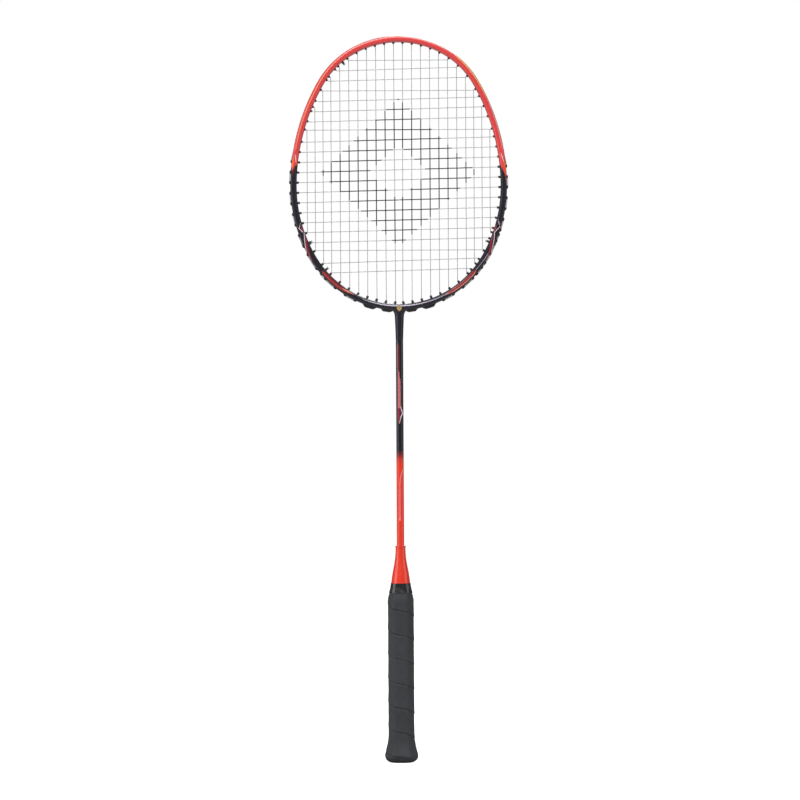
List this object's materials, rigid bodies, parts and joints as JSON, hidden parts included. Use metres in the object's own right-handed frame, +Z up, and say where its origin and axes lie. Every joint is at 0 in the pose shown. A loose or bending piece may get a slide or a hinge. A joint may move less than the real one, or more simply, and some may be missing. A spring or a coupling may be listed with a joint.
{
  "type": "badminton racket",
  "caption": "Strung oval racket with a slim round shaft, tapered cone and wrapped octagonal handle with a flared butt.",
  "frame": {"origin": "middle of the flat butt face, the lowest plane of the racket stood upright on its butt", "axes": "+Z runs up the handle and shaft to the crown of the head, X runs across the head in the plane of the strings, Y is square to the strings with the pictured face at -Y"},
  "size_m": [0.2036, 0.0294, 0.6751],
  "materials": {
    "frame_paint": "gloss lacquer over moulded carbon fibre, coral red above and blue-black below",
    "dark_paint": "gloss blue-black lacquer",
    "moulded_insert": "moulded carbon-filled resin",
    "shaft_paint": "gloss lacquer over carbon fibre tube, black above fading to red-orange below",
    "cone_plastic": "gloss",
    "core_wood": "sanded",
    "cap_plastic": "satin moulded",
    "medallion": "gloss, plain",
    "grip_wrap": "matte synthetic leather with fine grain",
    "gloss_tape": "gloss film",
    "staple_steel": "bright wire",
    "string_nylon": "satin braided nylon",
    "grommet_nylon": "moulded nylon"
  },
  "bodies": {
    "root": {"head_frame": "frame_paint", "t_joint": "dark_paint", "shaft_tenon": "moulded_insert", "shaft": "shaft_paint", "cone_cap": "cone_plastic", "handle_core": "core_wood", "butt_cap": "cap_plastic", "butt_medallion": "medallion", "grip_tape": "grip_wrap", "finishing_tape": "gloss_tape", "grip_staple": "staple_steel", "main_strings": "string_nylon", "cross_strings": "string_nylon", "crown_grommets": "grommet_nylon", "side_grommets": "grommet_nylon", "throat_grommets": "grommet_nylon", "tie_off_grommets": "grommet_nylon"}
  },
  "joints": []
}
